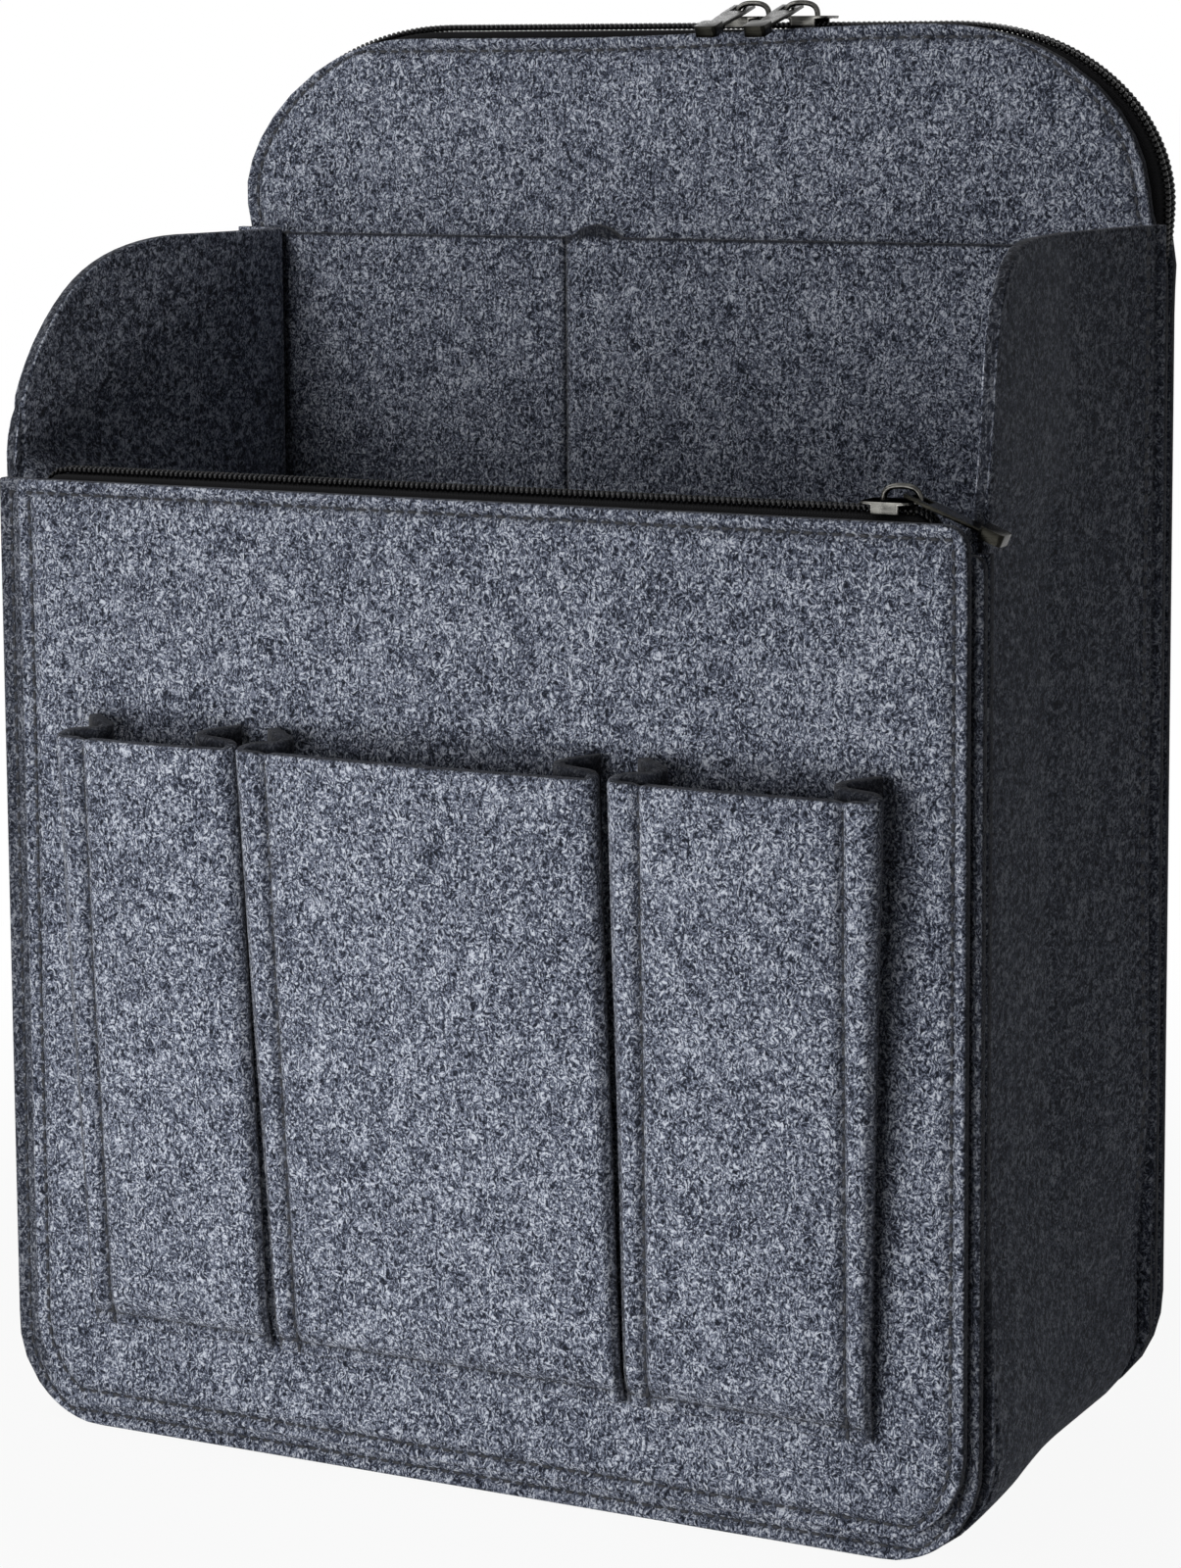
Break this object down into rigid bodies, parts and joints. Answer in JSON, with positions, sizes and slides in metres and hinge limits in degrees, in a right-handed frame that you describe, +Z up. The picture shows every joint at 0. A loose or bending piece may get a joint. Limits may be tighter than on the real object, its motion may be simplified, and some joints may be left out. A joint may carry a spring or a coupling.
{
  "type": "bag organizer insert",
  "caption": "Felt backpack organizer insert: open box with low zipped front, sewn-on open pockets, curved side walls and a tall arched back with a zipped flat compartment.",
  "frame": {"origin": "middle of the bounding box's bottom face, on the surface that the felt flanges stand on", "axes": "+Z up towards the arch, +X to the right seen from the front, -Y towards the front pockets, +Y towards the back panel"},
  "size_m": [0.2442, 0.1394, 0.3264],
  "materials": {
    "felt": "heathered dark blue-grey needle felt, raw fuzzy edges",
    "zip_tape": "woven black polyester tape",
    "zip_coil": "satin black nylon coil",
    "slider_metal": "gunmetal plated, worn bright on edges"
  },
  "bodies": {
    "felt_body": {"gusset": "felt", "front_wall": "felt", "front_zip_panel": "felt", "back_wall": "felt", "back_outer_panel": "felt", "inner_pocket_panel": "felt", "pocket_left": "felt", "pocket_middle": "felt", "pocket_right": "felt", "front_zip_tape_front": "zip_tape", "front_zip_tape_rear": "zip_tape", "front_zip_coil_front": "zip_coil", "front_zip_coil_rear": "zip_coil", "back_zip_tape_front": "zip_tape", "back_zip_tape_rear": "zip_tape", "back_zip_coil_front": "zip_coil", "back_zip_coil_rear": "zip_coil"},
    "front_slider": {"front_slider": "slider_metal"},
    "front_pull": {"front_pull": "slider_metal"},
    "back_left_slider": {"back_left_slider": "slider_metal"},
    "back_left_pull": {"back_left_pull": "slider_metal"},
    "back_right_slider": {"back_right_slider": "slider_metal"},
    "back_right_pull": {"back_right_pull": "slider_metal"}
  },
  "joints": [
    {"name": "front_slide", "type": "slide", "parent": "felt_body", "child": "front_slider", "axis": [-1, 0, 0], "range_m": [0, 0.198], "deforming": ["front_zip_tape_front", "front_zip_tape_rear", "front_zip_coil_front", "front_zip_coil_rear"]},
    {"name": "front_pull_flip", "type": "hinge", "parent": "front_slider", "child": "front_pull", "pos_m": [0.10085, -0.04925, 0.2251], "axis": [0, -1, 0], "range_deg": [0, 150]},
    {"name": "back_left_slide", "type": "slide", "parent": "felt_body", "child": "back_left_slider", "axis": [-1, 0, 0], "range_m": [0, 0.071]},
    {"name": "back_left_pull_swing", "type": "hinge", "parent": "back_left_slider", "child": "back_left_pull", "pos_m": [0.01046, 0.06255, 0.3244], "axis": [0, 0.2588, -0.9659], "range_deg": [0, 180]},
    {"name": "back_right_slide", "type": "slide", "parent": "felt_body", "child": "back_right_slider", "axis": [1, 0, 0], "range_m": [0, 0.0275]},
    {"name": "back_right_pull_swing", "type": "hinge", "parent": "back_right_slider", "child": "back_right_pull", "pos_m": [0.02286, 0.06255, 0.3244], "axis": [0, -0.2588, 0.9659], "range_deg": [0, 45]}
  ]
}
